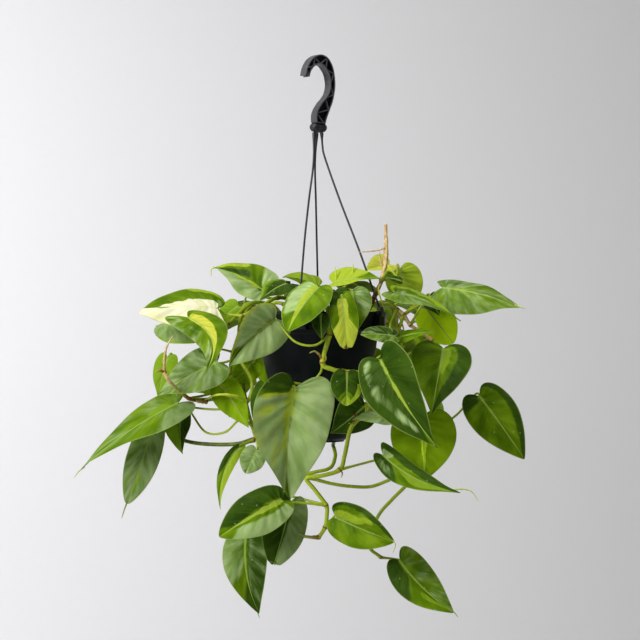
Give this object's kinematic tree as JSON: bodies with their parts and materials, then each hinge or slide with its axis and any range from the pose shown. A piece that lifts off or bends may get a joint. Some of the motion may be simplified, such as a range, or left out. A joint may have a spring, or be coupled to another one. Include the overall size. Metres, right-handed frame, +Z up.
{
  "type": "potted trailing philodendron in a hanging pot",
  "caption": "Brasil philodendron with trailing vines of heart-shaped, lime-streaked leaves, growing in a dark bowl-shaped hanging pot on a moulded hook with slender strands.",
  "frame": {"origin": "inner top of the hook, the point that the whole thing hangs from", "axes": "+Z up, -Y towards the viewer of the picture, +X to the right as seen in it"},
  "size_m": [0.5255, 0.306, 0.6645],
  "materials": {
    "pot": "very dark green-black moulded plastic with a soft sheen",
    "potting_mix": "rough, moist peat and bark mix",
    "hanger": "charcoal moulded plastic, satin",
    "foliage": "waxy satin leaves in dark and grey green, streaked with lime"
  },
  "bodies": {
    "root": {"pot": "pot", "potting_mix": "potting_mix", "hanger_hook": "hanger", "strand_left": "hanger", "strand_back": "hanger", "strand_right": "hanger", "vine_front": "foliage", "vine_top": "foliage", "vine_top_left": "foliage", "vine_top_right": "foliage", "vine_right": "foliage", "vine_right_low": "foliage", "vine_left": "foliage", "vine_left_low": "foliage", "vine_far_left": "foliage", "vine_back": "foliage", "vine_back_left": "foliage", "vine_back_right": "foliage", "vine_side_left": "foliage"}
  },
  "joints": []
}
